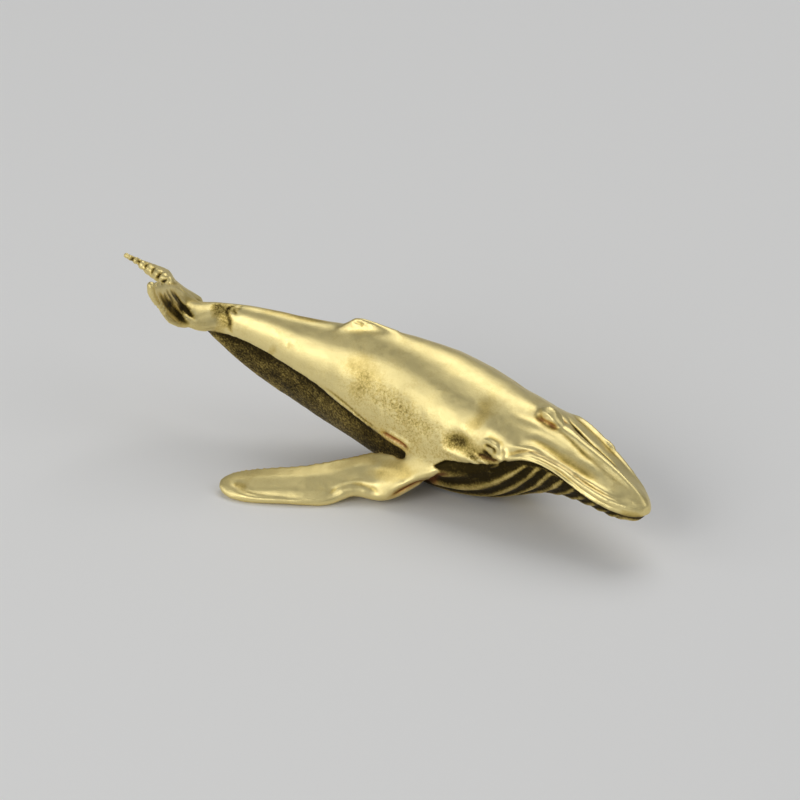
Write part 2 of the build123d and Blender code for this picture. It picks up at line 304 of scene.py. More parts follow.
def node_mesh(name):
    """Corners in millimetres and faces of a CAD node, with doubled corners joined."""
    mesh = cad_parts[name].data
    corners = np.empty(len(mesh.vertices) * 3)
    mesh.vertices.foreach_get("co", corners)
    corners = (corners.reshape(-1, 3) / millimetre).round(corner_digits)
    corners, joined = np.unique(corners, axis=0, return_inverse=True)
    joined = joined.ravel()
    faces = [tuple(int(joined[i]) for i in face.vertices) for face in mesh.polygons]
    faces = [face for face in faces if len(set(face)) == len(face)]
    return corners, faces


def new_object(name, corners, faces):
    mesh = bpy.data.meshes.new(name)
    mesh.from_pydata([tuple(corner) for corner in corners], [], faces)
    made = bpy.data.objects.new(name, mesh)
    bpy.context.scene.collection.objects.link(made)
    return made


def ramp(value, low, high):
    """0 below low, 1 above high and a smooth step between them."""
    share = np.clip((value - low) / (high - low), 0, 1)
    return share * share * (3 - 2 * share)


def fitted_spine(corners):
    """Points down the middle of the back, seen from above, from the snout to the tail."""
    slices = np.linspace(spine_rear + rear_margin, spine_front - front_margin, spine_slices)
    middle = []
    for x in slices:
        near = corners[np.abs(corners[:, 0] - x) < slice_half, 1]
        middle.append((near.min() + near.max()) / 2)
    curve = np.polyfit(slices, middle, spine_degree)
    x = np.linspace(spine_front, spine_rear, spine_steps)
    return np.stack([x, np.polyval(curve, x)], axis=1)


def body_place(points):
    """Place on the spine from 0 at the snout to 1 at the tail, and distance out to the right."""
    share = np.empty(len(points))
    out = np.empty(len(points))
    for start in range(0, len(points), rows_at_once):
        rows = slice(start, start + rows_at_once)
        part = points[rows, :2]
        apart = part[:, None] - spine[None]
        nearest = (apart**2).sum(axis=2).argmin(axis=1)
        share[rows] = spine_share[nearest]
        across = part - spine[nearest]
        out[rows] = (across * spine_out[nearest]).sum(axis=1)
    return share, out


def body_point(share, out, height):
    """The point at a place on the spine, a distance out to the right and a height."""
    x, y = (np.interp(share, spine_share, spine[:, axis]) for axis in range(2))
    out_x, out_y = (np.interp(share, spine_share, spine_out[:, axis]) for axis in range(2))
    return np.stack([x + out * out_x, y + out * out_y, np.broadcast_to(height, np.shape(x))], axis=-1)


def convex_hull(points):
    made = bmesh.new()
    for point in points:
        made.verts.new(point)
    bmesh.ops.convex_hull(made, input=made.verts)
    loose = [vert for vert in made.verts if not vert.link_faces]
    bmesh.ops.delete(made, geom=loose, context="VERTS")
    made.verts.index_update()
    corners = np.array([tuple(vert.co) for vert in made.verts])
    faces = [tuple(vert.index for vert in face.verts) for face in made.faces]
    made.free()
    return corners, faces


def joined_solids(solids):
    corners = np.concatenate([solid_corners for solid_corners, _ in solids])
    faces = []
    first = 0
    for solid_corners, solid_faces in solids:
        faces += [tuple(first + i for i in face) for face in solid_faces]
        first += len(solid_corners)
    return corners, faces


def remeshed(corners, faces, voxel):
    """One closed skin of even quads round overlapping solids, without what it encloses."""
    rough = new_object("rough_skin", corners, faces)
    remesh = rough.modifiers.new("skin", "REMESH")
    remesh.mode = "VOXEL"
    remesh.voxel_size = voxel
    shown = rough.evaluated_get(bpy.context.evaluated_depsgraph_get())
    mesh = bpy.data.meshes.new_from_object(shown)
    points = np.empty(len(mesh.vertices) * 3)
    mesh.vertices.foreach_get("co", points)
    quads = np.array([tuple(face.vertices) for face in mesh.polygons if len(face.vertices) == 4])
    bpy.data.objects.remove(rough)
    bpy.data.meshes.remove(mesh)
    return largest_shell(points.reshape(-1, 3), quads)


def island_numbers(count, pairs):
    """For each corner the lowest number of a corner that pairs join it to."""
    island = np.arange(count)
    while True:
        lowest = island[pairs].min(axis=1)
        new_island = island.copy()
        np.minimum.at(new_island, pairs.ravel(), np.repeat(lowest, 2))
        new_island = new_island[new_island]
        if (new_island == island).all():
            return island
        island = new_island


def largest_shell(corners, quads):
    """Drops the shells of the hollows inside, which are all smaller than the outer one."""
    shell = island_numbers(len(corners), mesh_edges(quads))
    kept = shell == np.bincount(shell).argmax()
    number = np.cumsum(kept) - 1
    return corners[kept], number[quads[kept[quads[:, 0]]]]


def mesh_edges(quads):
    pairs = np.concatenate([quads[:, [0, 1]], quads[:, [1, 2]], quads[:, [2, 3]], quads[:, [3, 0]]])
    return np.unique(np.sort(pairs, axis=1), axis=0)


def normals(corners):
    """Outward unit normals at the corners of the skin."""
    first = corners[quads[:, 2]] - corners[quads[:, 0]]
    second = corners[quads[:, 3]] - corners[quads[:, 1]]
    across = np.cross(first, second)
    total = np.zeros_like(corners)
    for side in range(4):
        for axis in range(3):
            total[:, axis] += np.bincount(quads[:, side], across[:, axis], len(corners))
    return total / (np.linalg.norm(total, axis=1)[:, None] + 1e-12)


def mean_of_neighbours(values):
    one, two = edges[:, 0], edges[:, 1]
    columns = values.reshape(len(values), -1)
    total = np.empty_like(columns)
    for axis in range(columns.shape[1]):
        total[:, axis] = np.bincount(one, columns[two, axis], len(values))
        total[:, axis] += np.bincount(two, columns[one, axis], len(values))
    return (total / neighbour_count[:, None]).reshape(values.shape)


def rounds_for(depth):
    """Rounds of smoothing that take away what is narrower than a depth in millimetres."""
    return max(1, round((2 * depth / voxel) ** 2))


def smoothed(values, depth, amount=1.0):
    """Takes away what is narrower than a depth. Amount is its strength, for all corners or each."""
    step = smoothing_step * np.reshape(amount, (-1,) + (1,) * (values.ndim - 1))
    for _ in range(rounds_for(depth)):
        values = values + (mean_of_neighbours(values) - values) * step
    return values


def evened(corners, rounds):
    """Smooths away the steps of the voxels and keeps the volume."""
    for _ in range(rounds):
        corners = corners + (mean_of_neighbours(corners) - corners) * smoothing_step
        corners = corners - (mean_of_neighbours(corners) - corners) * evening_step
    return corners


def tree_of(corners, faces):
    return BVHTree.FromPolygons([tuple(corner) for corner in corners], faces)


def distances(corners, tree):
    return np.array([tree.find_nearest(Vector(corner))[3] for corner in corners])


def waves(points, size, seed):
    """Smooth random waves of a size in millimetres, from about -1 to 1."""
    shift = Vector([seed * step for step in wave_shift])
    return np.array([noise.noise(Vector(point) / size + shift) for point in points])


def camera_axes():
    """The camera's place, and its directions forwards, to the right and up."""
    place = np.array(camera_place)
    forward = np.array(camera_target) - place
    forward /= np.linalg.norm(forward)
    right = np.cross(forward, (0, 0, 1))
    right /= np.linalg.norm(right)
    return place, forward, right, np.cross(right, forward)


def photo_rays(pixels):
    """The camera's place, and the directions of its rays through pixels."""
    place, forward, right, up = camera_axes()
    from_middle = (np.array(pixels) - picture_size / 2) / (camera_lens / camera_sensor * picture_size)
    return place, forward + from_middle[:, :1] * right - from_middle[:, 1:] * up


def photo_pixels(points):
    """Where points show in the photograph."""
    place, forward, right, up = camera_axes()
    depth = (points - place) @ forward
    scale = camera_lens / camera_sensor * picture_size / depth
    across = picture_size / 2 + (points - place) @ right * scale
    down = picture_size / 2 - (points - place) @ up * scale
    return np.stack([across, down], axis=1)


def plate_points(pixels, point, normal, thickness):
    """Both sides of a plate in a plane through a point, with the outline that pixels give it."""
    normal = np.array(normal) / np.linalg.norm(normal)
    place, rays = photo_rays(pixels)
    along = (np.array(point) - place) @ normal / (rays @ normal)
    points = place + rays * along[:, None]
    half = normal * thickness / 2
    return np.concatenate([points + half, points - half])


def bead(centre, radius):
    """A round bead, with its corners spread evenly on a spiral from pole to pole."""
    number = np.arange(bead_corners)
    height = 1 - (2 * number + 1) / bead_corners
    across = np.sqrt(1 - height**2)
    turn = number * pi * (3 - 5**0.5)
    corners = np.stack([across * np.cos(turn), across * np.sin(turn), height], axis=1)
    return convex_hull(np.array(centre) + corners * radius)


def bead_rope(ends, radii, beads):
    """Beads in a row on a line through some points, like the turns of a rope."""
    share = np.linspace(0, 1, beads)
    places = np.linspace(0, 1, len(ends))
    centres = np.stack([np.interp(share, places, np.array(ends)[:, axis]) for axis in range(3)], axis=1)
    sizes = np.interp(share, np.linspace(0, 1, len(radii)), radii)
    return [bead(centre, size) for centre, size in zip(centres, sizes)]


solids = [node_mesh(name) for name in castings]
spine = fitted_spine(solids[back][0])
spine_run = np.linalg.norm(np.diff(spine, axis=0), axis=1)
spine_length = spine_run.sum()
spine_share = np.concatenate([[0], np.cumsum(spine_run)]) / spine_length
spine_along = np.gradient(spine, axis=0)
spine_along /= np.linalg.norm(spine_along, axis=1)[:, None]
spine_out = np.stack([-spine_along[:, 1], spine_along[:, 0]], axis=1)

# The rim where the back meets the belly: half width and height along the spine
rim_place = np.linspace(*rim_ends, rim_steps)
back_share, back_out = body_place(solids[back][0])
rim_width = np.empty(rim_steps)
rim_height = np.empty(rim_steps)
for step, place in enumerate(rim_place):
    near = np.flatnonzero(np.abs(back_share - place) < rim_slice)
    widest = near[np.abs(back_out[near]).argmax()]
    rim_width[step] = abs(back_out[widest])
    rim_height[step] = solids[back][0][widest, 2]

shoulders = []
for hand in (1, -1):
    corner_shares = np.array(shoulder_corners)
    points = body_point(corner_shares[:, 0], corner_shares[:, 1] * hand, corner_shares[:, 2])
    shoulders.append(convex_hull(points))

root_web = convex_hull(np.array(root_web_corners))
fin_top = plate_points(fin_top_outline, fin_point, fin_normal, fin_top_thickness)
fin_foot = plate_points(fin_foot_outline, fin_point, fin_normal, fin_foot_thickness)
fin = convex_hull(np.concatenate([fin_top, fin_foot]))
far_beads = bead_rope(far_rope, far_rope_radii, far_rope_beads)
added = [
    *shoulders,
    *far_beads,
    *bead_rope(near_rope, near_rope_radii, near_rope_beads),
    convex_hull(plate_points(lobe_web_outline, lobe_web_point, lobe_web_normal, lobe_web_thickness)),
    root_web,
    fin,
]
voxel = skin_voxel
skin, quads = remeshed(*joined_solids(solids + added), voxel)
edges = mesh_edges(quads)
neighbour_count = np.bincount(edges.ravel(), minlength=len(skin))
skin = evened(skin, even_rounds)

# The front edge of the far lobe leaves the stock in a hollow curve
pixels = photo_pixels(skin)
outline_x, outline_y = np.array(fluke_outline).T
above = np.interp(pixels[:, 0], outline_x, outline_y) - pixels[:, 1]
enter, full, leave, left = fluke_outline_ends
along = ramp(pixels[:, 0], enter, full) * (1 - ramp(pixels[:, 0], leave, left))
too_high = np.maximum(above, 0) * along * (1 - fluke_outline_kept)
too_high[skin[:, 0] > fluke_outline_front] = 0
camera_point, _, _, camera_up = camera_axes()
pixel_size = np.linalg.norm(skin - camera_point, axis=1) / (camera_lens / camera_sensor * picture_size)
skin = skin - camera_up * (too_high * pixel_size)[:, None]

reach = np.stack([distances(skin, tree_of(*solid)) for solid in solids], axis=1)
shoulder_reach = np.stack([distances(skin, tree_of(*solid)) for solid in shoulders], axis=1).min(axis=1)
body_reach = reach[:, [back, belly]].min(axis=1)
casting = reach.argmin(axis=1)

# Braze runs in fillets round the limbs, and the shoulders flow into the back
near_limb = np.zeros(len(skin))
for limb in (right_flipper, left_flipper, flukes):
    apart = np.maximum(reach[:, limb], body_reach)
    near_limb = np.maximum(near_limb, 1 - ramp(apart, 0, fillet_reach))
skin = smoothed(skin, fillet_depth, near_limb)
near_web = 1 - ramp(distances(skin, tree_of(*root_web)), *web_fade)
near_fin = fin_softness * (1 - ramp(distances(skin, tree_of(*fin)), *fin_fade))
skin = smoothed(skin, web_depth, np.maximum(near_web, near_fin))
near_beads = 1 - ramp(distances(skin, tree_of(*joined_solids(far_beads))), *bead_fade)
skin = smoothed(skin, rope_depth, near_beads)
on_flipper = np.where((casting == right_flipper) | (casting == left_flipper), 1.0, 0.0)
skin = smoothed(skin, flipper_depth, smoothed(on_flipper, area_blur))
near_shoulder = 1 - ramp(shoulder_reach, *shoulder_fade)
skin = smoothed(skin, shoulder_depth, near_shoulder)

# The eyes are low swells, and the throat is round between its pleats
share, out = body_place(skin)
on_belly = casting == belly
eyes = [body_point(eye_place[0], eye_place[1] * hand, eye_place[2]) for hand in (1, -1)]
from_eye = np.min([np.linalg.norm(skin - eye, axis=1) for eye in eyes], axis=0)
skin = smoothed(skin, eye_depth, 1 - ramp(from_eye, *eye_reach))
throat = np.where(on_belly, 1 - ramp(share, *throat_end), 0.0)
throat = smoothed(throat, throat_blur, throat_blur_strength)
skin = smoothed(skin, throat_depth, throat)

# The back is one smooth swell from behind the blowhole to the tail stock
above_rim = skin[:, 2] - np.interp(share, rim_place, rim_height)
swell = ramp(share, *swell_front) * (1 - (1 - swell_rear_kept) * ramp(share, *swell_rear))
swell = np.where(casting == back, swell, 0.0) * ramp(above_rim, *rim_fade) * (1 - near_fin)
skin = smoothed(skin, back_depth, smoothed(swell, area_blur))
skin = evened(skin, soften_rounds)

skin_tree = tree_of(skin, quads)
skin_normals = normals(skin)
lift = np.zeros(len(skin))
# Tarnish and painted light in one value: patina, painted shade and shadow, and painted highlights
tarnish_and_painted_light = np.zeros(len(skin))
copper = np.zeros(len(skin))
grain = np.zeros(len(skin))

# Lines measured in the photograph, in its pixels. Most are mirrored onto the whale's left side
lip_band = [
    (507, 461), (522, 456), (539, 458), (552, 464), (564, 471),
    (576, 481), (590, 492), (606, 501), (622, 509), (634, 512),
]
lip_groove = [
    (503, 458), (514, 453), (525, 451), (534, 452), (544, 457), (555, 463),
    (567, 470), (579, 479), (592, 487), (607, 496), (622, 503),
]
lip_ridge = [
    (508, 449), (521, 446), (533, 447), (546, 453), (559, 462),
    (572, 471), (587, 481), (603, 491), (620, 499),
]
flank_groove = [(520, 438), (536, 441), (550, 449), (565, 460), (582, 472), (598, 483)]
flank_ridge = [(524, 431), (543, 436), (558, 445), (573, 454), (590, 465), (607, 478)]
rostrum_crease = [(534, 417), (542, 420), (550, 424), (558, 430)]
rostrum_groove = [(556, 429), (568, 438), (580, 450), (594, 462)]
rostrum_ridge = [(506, 411), (520, 418), (534, 424), (547, 431), (560, 439), (575, 450), (590, 459)]
median_line = [(566, 415), (571, 423), (581, 434), (590, 443), (600, 452), (610, 461), (620, 470)]
median_ridge = [(563, 420), (575, 434), (586, 446), (598, 457)]
blowhole_rear = [(541, 406), (550, 406), (556, 411)]
blowhole_front = [(556, 412), (563, 421)]
blowhole_crease = [(536, 415), (546, 417), (554, 421)]
mouth_corner = [(487, 470), (496, 469), (502, 465), (507, 459)]
cheek = [(490, 430), (500, 433)]
eye_upper_lid = [(481, 441), (487, 441), (493, 444), (498, 449), (499, 456)]
eye_slit = [(483, 445), (489, 446), (494, 450), (494, 456)]
eye_ball = [(487, 450), (490, 452)]
eye_lower_lid = [(482, 450), (487, 455), (492, 459)]
eye_brow = [(484, 436), (493, 438), (501, 443), (506, 449)]
wrinkles = [
    [(470, 452), (476, 456), (484, 459), (492, 463)],
    [(474, 460), (482, 462), (490, 467)],
    [(502, 447), (506, 453), (504, 460)],
    [(497, 458), (501, 461)],
    [(465, 458), (473, 463), (481, 466)],
]
wrinkle_shade = [(462, 454), (474, 458), (485, 461), (497, 462)]
eye_hollow = [(440, 437), (450, 438), (461, 441), (471, 444), (480, 448)]
hollow_shade = [(450, 442), (461, 447), (472, 451), (483, 455)]
eye_crease = [(476, 454), (484, 458), (492, 461), (500, 461)]
flipper_root_shade = [(368, 472), (384, 472), (400, 473), (416, 474), (430, 470)]
snout_shade = [(616, 511), (626, 515), (636, 517), (644, 514)]
crest_shade = [(248, 309), (270, 312), (295, 317), (318, 321), (338, 325)]
joint_patch = [(217, 305), (225, 307), (233, 308)]
hollow_fold = [(437, 446), (447, 451), (458, 456), (470, 461)]
neck_shade = [(485, 396), (486, 410), (477, 422), (464, 432)]
speckled_streak = [
    (345, 372), (368, 388), (389, 403), (402, 415), (414, 423), (430, 430), (447, 435), (458, 439),
]
fluke_end_shade = [(352, 365), (362, 376), (357, 388)]
edge_line = [(318, 384), (333, 394), (346, 405), (358, 416), (370, 425), (381, 432)]
rear_slot = [(380, 432), (390, 437), (400, 443), (409, 449)]
rear_slot_rim = [(384, 430), (395, 436), (406, 443), (412, 448)]
front_slot = [(384, 501), (395, 495), (407, 489), (418, 484), (430, 480), (441, 475), (452, 474)]
front_slot_rim = [(381, 497), (393, 489), (405, 483), (418, 477), (431, 472), (443, 470)]
front_slot_ledge = [(390, 503), (403, 498), (416, 494), (427, 486), (438, 481)]
fold_shadow = [(447, 474), (462, 471), (475, 473), (488, 474)]
flipper_pad = [(332, 494), (341, 490), (353, 488), (365, 490), (373, 495)]
flipper_pad_rim = [(325, 500), (330, 493), (339, 487), (353, 484), (366, 486), (375, 491), (380, 499)]
flipper_rim = [(228, 487), (240, 494), (256, 498), (275, 500), (296, 502), (314, 502)]
flipper_rim_groove = [(232, 485), (244, 491), (258, 495), (277, 497), (296, 499), (312, 499)]
flipper_dimple = [(236, 484), (243, 486)]
fin_slit = [(353, 321), (359, 323), (365, 326)]
fin_crest = [(352, 321), (358, 318), (366, 319), (378, 323), (390, 327)]
tail_joint = [(226, 305), (227, 313), (230, 321), (230, 329), (234, 336)]
tail_shade = [(207, 305), (214, 309), (221, 315), (226, 322), (230, 330)]
tail_pits = [(232, 306), (237, 304), (239, 309), (234, 311), (241, 306), (229, 308), (236, 313)]
stock_spots = [(274, 350), (270, 354), (289, 345)]
near_lobe_groove = [(157, 287), (161, 296), (167, 306), (175, 315), (184, 323), (195, 327)]
lobe_streaks = [
    [(164, 286), (170, 296), (178, 308), (188, 320)],
    [(168, 286), (175, 297), (184, 310), (194, 322)],
    [(168, 300), (175, 310), (184, 319), (192, 325)],
    [(172, 287), (180, 300), (189, 312), (197, 322)],
    [(163, 292), (168, 301), (173, 308)],
]
lobe_bright_streaks = [
    [(181, 308), (188, 316), (196, 324)],
    [(173, 302), (182, 313), (191, 322)],
    [(174, 289), (180, 298), (186, 305)],
]
far_lobe_ribs = [
    [(134, 254), (131, 261)],
    [(141, 257), (136, 266)],
    [(148, 261), (142, 271)],
    [(155, 265), (149, 276)],
    [(161, 271), (155, 281)],
    [(167, 277), (161, 285)],
]
lobe_web = [(176, 284), (186, 293), (197, 301), (206, 304)]


def smooth_line(points, spacing):
    """Points a spacing apart on a smooth line through some points."""
    points = np.array(points, float)
    if len(points) == 1:
        return points
    ends = np.concatenate([2 * points[:1] - points[1:2], points, 2 * points[-1:] - points[-2:-1]])
    line = []
    for before, start, end, after in zip(ends, ends[1:], ends[2:], ends[3:]):
        steps = max(1, int(np.linalg.norm(end - start) / spacing))
        t = (np.arange(steps) / steps)[:, None]
        bend = 2 * before - 5 * start + 4 * end - after
        twist = 3 * start - before - 3 * end + after
        line.append((2 * start + (end - before) * t + bend * t**2 + twist * t**3) / 2)
    return np.concatenate(line + [points[-1:]])


def on_skin(pixels):
    """Points on the skin a pixel apart, where the camera's rays along a line of pixels meet it."""
    place, rays = photo_rays(smooth_line(pixels, path_spacing))
    hits = [skin_tree.ray_cast(Vector(place), Vector(ray))[0] for ray in rays]
    return np.array([tuple(hit) for hit in hits if hit is not None]).reshape(-1, 3)


def onto_skin(points):
    return np.array([tuple(skin_tree.find_nearest(Vector(point))[0]) for point in points])


def evened_row(row):
    """A row of numbers along a line without its sudden steps."""
    padded = np.pad(row, path_blur_points // 2, mode="edge")
    return np.convolve(padded, np.ones(path_blur_points) / path_blur_points, mode="valid")


def mirrored(path):
    """A line on the skin on the other side of the spine, without steps where the sides differ."""
    path_share, path_out = body_place(path)
    flipped = onto_skin(body_point(path_share, -path_out, path[:, 2]))
    if len(flipped) < smooth_path_points:
        return flipped
    return onto_skin(np.stack([evened_row(flipped[:, axis]) for axis in range(3)], axis=1))


def near_path(path, reach):
    """Corners near a line on the skin: their numbers, distances and places along the line."""
    low, high = path.min(axis=0) - reach, path.max(axis=0) + reach
    near = np.flatnonzero(((skin > low) & (skin < high)).all(axis=1))
    path_normals = np.array([tuple(skin_tree.find_nearest(Vector(point))[1]) for point in path])
    apart = ((skin[near][:, None] - path[None]) ** 2).sum(axis=2)
    closest = apart.argmin(axis=1)
    distance = np.sqrt(apart.min(axis=1))
    facing = (skin_normals[near] * path_normals[closest]).sum(axis=1)
    kept = (distance < reach) & (facing > 0)
    return near[kept], distance[kept], closest[kept] / max(1, len(path) - 1)


def carve(pixels, width, height, dark=0.0, warm=0.0, rough=0.0, taper=usual_taper, both=True):
    """Raises or sinks the skin along a line of the photograph, and tints it there."""
    path = on_skin(pixels)
    if len(path) == 0:
        return
    for line in [path, mirrored(path)] if both else [path]:
        near, distance, place = near_path(line, stroke_reach * width)
        shape = np.exp(-((distance / width) ** 2))
        length = np.linalg.norm(np.diff(line, axis=0), axis=1).sum()
        if length > tapered_length * width:
            shape = shape * ramp(place, taper_start, taper) * ramp(1 - place, taper_start, taper)
        lift[near] += height * shape
        tarnish_and_painted_light[near] += dark * shape
        copper[near] += warm * shape
        grain[near] += rough * shape


def throat_pleats():
    """Which pleat of the throat each corner is on, and how deep the pleats are there."""
    belly_share, _ = body_place(solids[belly][0])
    slices = [np.abs(belly_share - place) < rim_slice for place in rim_place]
    keel = np.array([solids[belly][0][inside, 2].min() for inside in slices])
    edge_z = np.interp(share, *throat_edge)
    keel_z = np.interp(share, rim_place, evened_row(keel))
    half_width = np.interp(share, rim_place, evened_row(rim_width))
    wrap = np.arctan2((edge_z - skin[:, 2]) / (edge_z - keel_z), np.abs(out) / half_width) * 2 / pi
    near_start, far_start = share.copy(), np.full(len(skin), pleat_search_start)
    for _ in range(pleat_search_steps):
        start = (near_start + far_start) / 2
        end_wrap = 1 - np.clip((start - pleat_keel_place) / (pleat_first - pleat_keel_place), 0, 1) ** 2
        there = end_wrap * (1 - np.exp((start - share) / pleat_turn)) < wrap
        near_start = np.where(there, start, near_start)
        far_start = np.where(there, far_start, start)
    number = (pleat_first - near_start) / pleat_step
    shown = ramp(share, pleat_front, 2 * pleat_front) * (1 - ramp(share, *pleat_rear))
    shown = np.where(on_belly, shown, 0.0) * ramp(number, *pleat_first_fade)
    shown = shown * (1 - ramp(wrap, *pleat_keel_fade)) * ramp(wrap, *pleat_edge_fade)
    return number, shown


# Relief of the sculpture
pleat_number, pleat_shown = throat_pleats()
pleat_shape = 0.5 + 0.5 * np.cos(2 * pi * pleat_number)
lift += pleat_depth * pleat_shown * (pleat_shape**pleat_sharpness - pleat_middle)
# Painted highlights on the pleat ridges, and painted shade over the throat between them
ridge_painted_highlight = pleat_ridge_painted_highlight * pleat_shape**pleat_ridge_sharpness
patch_tarnish, patch_size, patch_seed = pleat_waves
patches = patch_tarnish * waves(skin, patch_size, patch_seed)
tarnish_and_painted_light += pleat_shown * (pleat_painted_shade - ridge_painted_highlight + patches)
# The undercut under the lip is sunk, and painted dark as its shadow
below_lip = np.interp(share, rim_place, rim_height) - skin[:, 2]
undercut = (1 - ramp(below_lip, *undercut_fade)) * (1 - ramp(share, *undercut_end))
undercut = smoothed(np.where(on_belly, undercut, 0.0), undercut_blur)
lift -= undercut_depth * undercut
tarnish_and_painted_light += undercut_painted_shadow * undercut

carve(lip_band, width=0.46, height=0.34, dark=-0.3)
carve(lip_groove, width=0.20, height=-0.20, dark=0.5, warm=0.25)
carve(lip_ridge, width=0.36, height=0.16, dark=-0.2)
carve(flank_groove, width=0.45, height=-0.09, dark=0.2)
carve(flank_ridge, width=0.6, height=0.11, dark=-0.1)
carve(rostrum_crease, width=0.26, height=-0.16, dark=0.35, warm=0.6)
carve(rostrum_groove, width=0.32, height=-0.06, dark=0.12)
carve(rostrum_ridge, width=0.5, height=0.10, dark=-0.2)
# The median line is painted dark as the shadow of the ridge beside it
carve(median_line, width=0.2, height=-0.24, dark=1.3, both=False)
carve(median_ridge, width=0.5, height=0.07, dark=-0.2, both=False)
carve(blowhole_rear, width=0.6, height=0.06, dark=-0.2, both=False)
carve(blowhole_front, width=0.35, height=-0.12, dark=0.25, both=False)
carve(blowhole_crease, width=0.35, height=-0.10, dark=0.2)
carve(mouth_corner, width=0.3, height=-0.28, dark=0.6)
carve(cheek, width=0.9, height=0.10, dark=-0.15)
carve(eye_upper_lid, width=0.24, height=0.18, dark=-0.3)
carve(eye_slit, width=0.18, height=-0.18, dark=0.8)
carve(eye_ball, width=0.26, height=0.04, dark=-0.2)
carve(eye_lower_lid, width=0.22, height=-0.14, dark=0.5)
carve(eye_brow, width=0.35, height=-0.06, dark=0.2)
carve(wrinkle_shade, width=0.8, height=-0.06, dark=0.35, rough=0.5)
for wrinkle in wrinkles:
    carve(wrinkle, width=0.22, height=0.14, dark=-0.3)
# The hollow behind the eye is painted darker as shade
carve(eye_hollow, width=1.2, height=-0.40, dark=0.36, taper=0.6)
carve(hollow_shade, width=1.3, height=-0.08, dark=0.42, taper=0.45)
carve(eye_crease, width=0.3, height=-0.20, dark=0.6, warm=0.2)
carve(hollow_fold, width=0.4, height=0.16, dark=-0.2)
carve(neck_shade, width=1.2, height=-0.10, dark=0.22)
carve(speckled_streak, width=1.8, height=-0.12, dark=0.28, rough=0.6, taper=0.5)
carve(fluke_end_shade, width=1.4, height=-0.06, dark=0.22)
carve(edge_line, width=0.2, height=-0.13, dark=0.5)
# Painted shade at the flipper root and under the snout, and a painted dark reflection along the crest
carve(flipper_root_shade, width=2.0, height=-0.05, dark=0.36, taper=0.5)
carve(snout_shade, width=0.7, height=0.0, dark=0.55)
carve(crest_shade, width=0.7, height=-0.03, dark=0.3)
carve(rear_slot, width=0.34, height=-0.32, dark=0.35, warm=0.9)
carve(rear_slot_rim, width=0.35, height=0.20, dark=-0.2)
carve(front_slot, width=0.42, height=-0.42, dark=0.6, warm=0.6)
carve(front_slot_rim, width=0.4, height=0.2, dark=-0.2)
carve(front_slot_ledge, width=0.32, height=0.12, warm=0.5)
carve(fold_shadow, width=0.7, height=-0.12, dark=0.5)
carve(flipper_pad, width=1.2, height=0.18, dark=-0.1)
carve(flipper_pad_rim, width=0.34, height=-0.12, dark=0.22)
carve(flipper_rim, width=0.42, height=0.14, dark=-0.3)
carve(flipper_rim_groove, width=0.4, height=-0.08, dark=0.15)
carve(flipper_dimple, width=0.5, height=-0.10, dark=0.15)
# The fin slit is painted dark as the shadow of the fin's rear edge
carve(fin_slit, width=0.25, height=-0.12, dark=0.3)
carve(fin_crest, width=0.35, height=0.08, dark=-0.2)
carve(tail_joint, width=0.25, height=-0.08, dark=0.5, both=False)
carve(tail_shade, width=1.0, height=-0.02, dark=0.5, rough=0.6, both=False)
carve(joint_patch, width=0.7, height=-0.05, dark=0.45, rough=0.9, both=False)
for pit in tail_pits:
    carve([pit], width=0.2, height=-0.10, dark=0.8, both=False)
for spot in stock_spots:
    carve([spot], width=0.6, height=-0.03, dark=0.24)
carve(near_lobe_groove, width=0.3, height=-0.12, dark=0.5, both=False)
for streak in lobe_streaks:
    carve(streak, width=0.4, height=-0.12, dark=0.6, rough=0.3, both=False)
for streak in lobe_bright_streaks:
    carve(streak, width=0.18, height=0.14, dark=-0.8, both=False)
for rib in far_lobe_ribs:
    carve(rib, width=0.24, height=-0.26, dark=0.9, both=False)
carve(lobe_web, width=0.3, height=0.10, dark=-0.2, both=False)

# Hand-worked unevenness, and the grain of the mould on the sides and under the belly
on_side = ramp(share, *side_grain_front) * (1 - ramp(share, *side_grain_rear))
on_side = on_side * ramp(-skin_normals[:, 2], *side_grain_slope)
grain += np.where(casting == back, side_grain * on_side, 0.0)
grain += np.where(on_belly, belly_grain + belly_rear_grain * ramp(share, *belly_rear), 0.0)
grain = np.clip(smoothed(grain, grain_blur), 0, 1)
lift = smoothed(np.minimum(lift, np.where(out > 0, highest_lift, highest_left_lift)), lift_blur)
for height, size, seed in hand_waves:
    lift += height * waves(skin, size, seed)
for least_grain, height, size, seed in grain_waves:
    lift += height * waves(skin, size, seed) * (least_grain + grain)
skin = skin + skin_normals * lift[:, None]
skin[:, 2] = np.maximum(skin[:, 2], 0.0)
skin_normals = normals(skin)

# Hollows hold tarnish and painted shade, and edges are rubbed bright. The belly darkens with patina and
# painted shade, and painted shade lies under the lip and on faces turned down
hollows = np.zeros(len(skin))
for width, full_depth in hollow_sizes:
    below = ((smoothed(skin, width) - skin) * skin_normals).sum(axis=1)
    hollows += np.clip(below / full_depth, -1, 1) / len(hollow_sizes)
tarnish_and_painted_light += hollow_patina_and_shade * np.maximum(hollows, 0) - edge_shine * np.maximum(-hollows, 0)
under_lip = lip_painted_shadow * (1 - ramp(below_lip, *lip_shadow_fade))
towards_tail = belly_rear_patina_and_shade * ramp(share, *belly_rear)
tarnish_and_painted_light += np.where(on_belly, belly_patina_and_shade + towards_tail + under_lip, 0.0)
facing_down = ramp(-skin_normals[:, 2], *underside_slope)
tarnish_and_painted_light += np.where(on_belly, belly_underside_painted_shade, underside_painted_shade) * facing_down
for strength, size, seed in tarnish_waves:
    tarnish_and_painted_light += strength * waves(skin, size, seed)
tarnish_and_painted_light = np.clip(smoothed(tarnish_and_painted_light, tint_blur), 0, 1)
copper = np.clip(smoothed(copper, tint_blur), 0, 1)


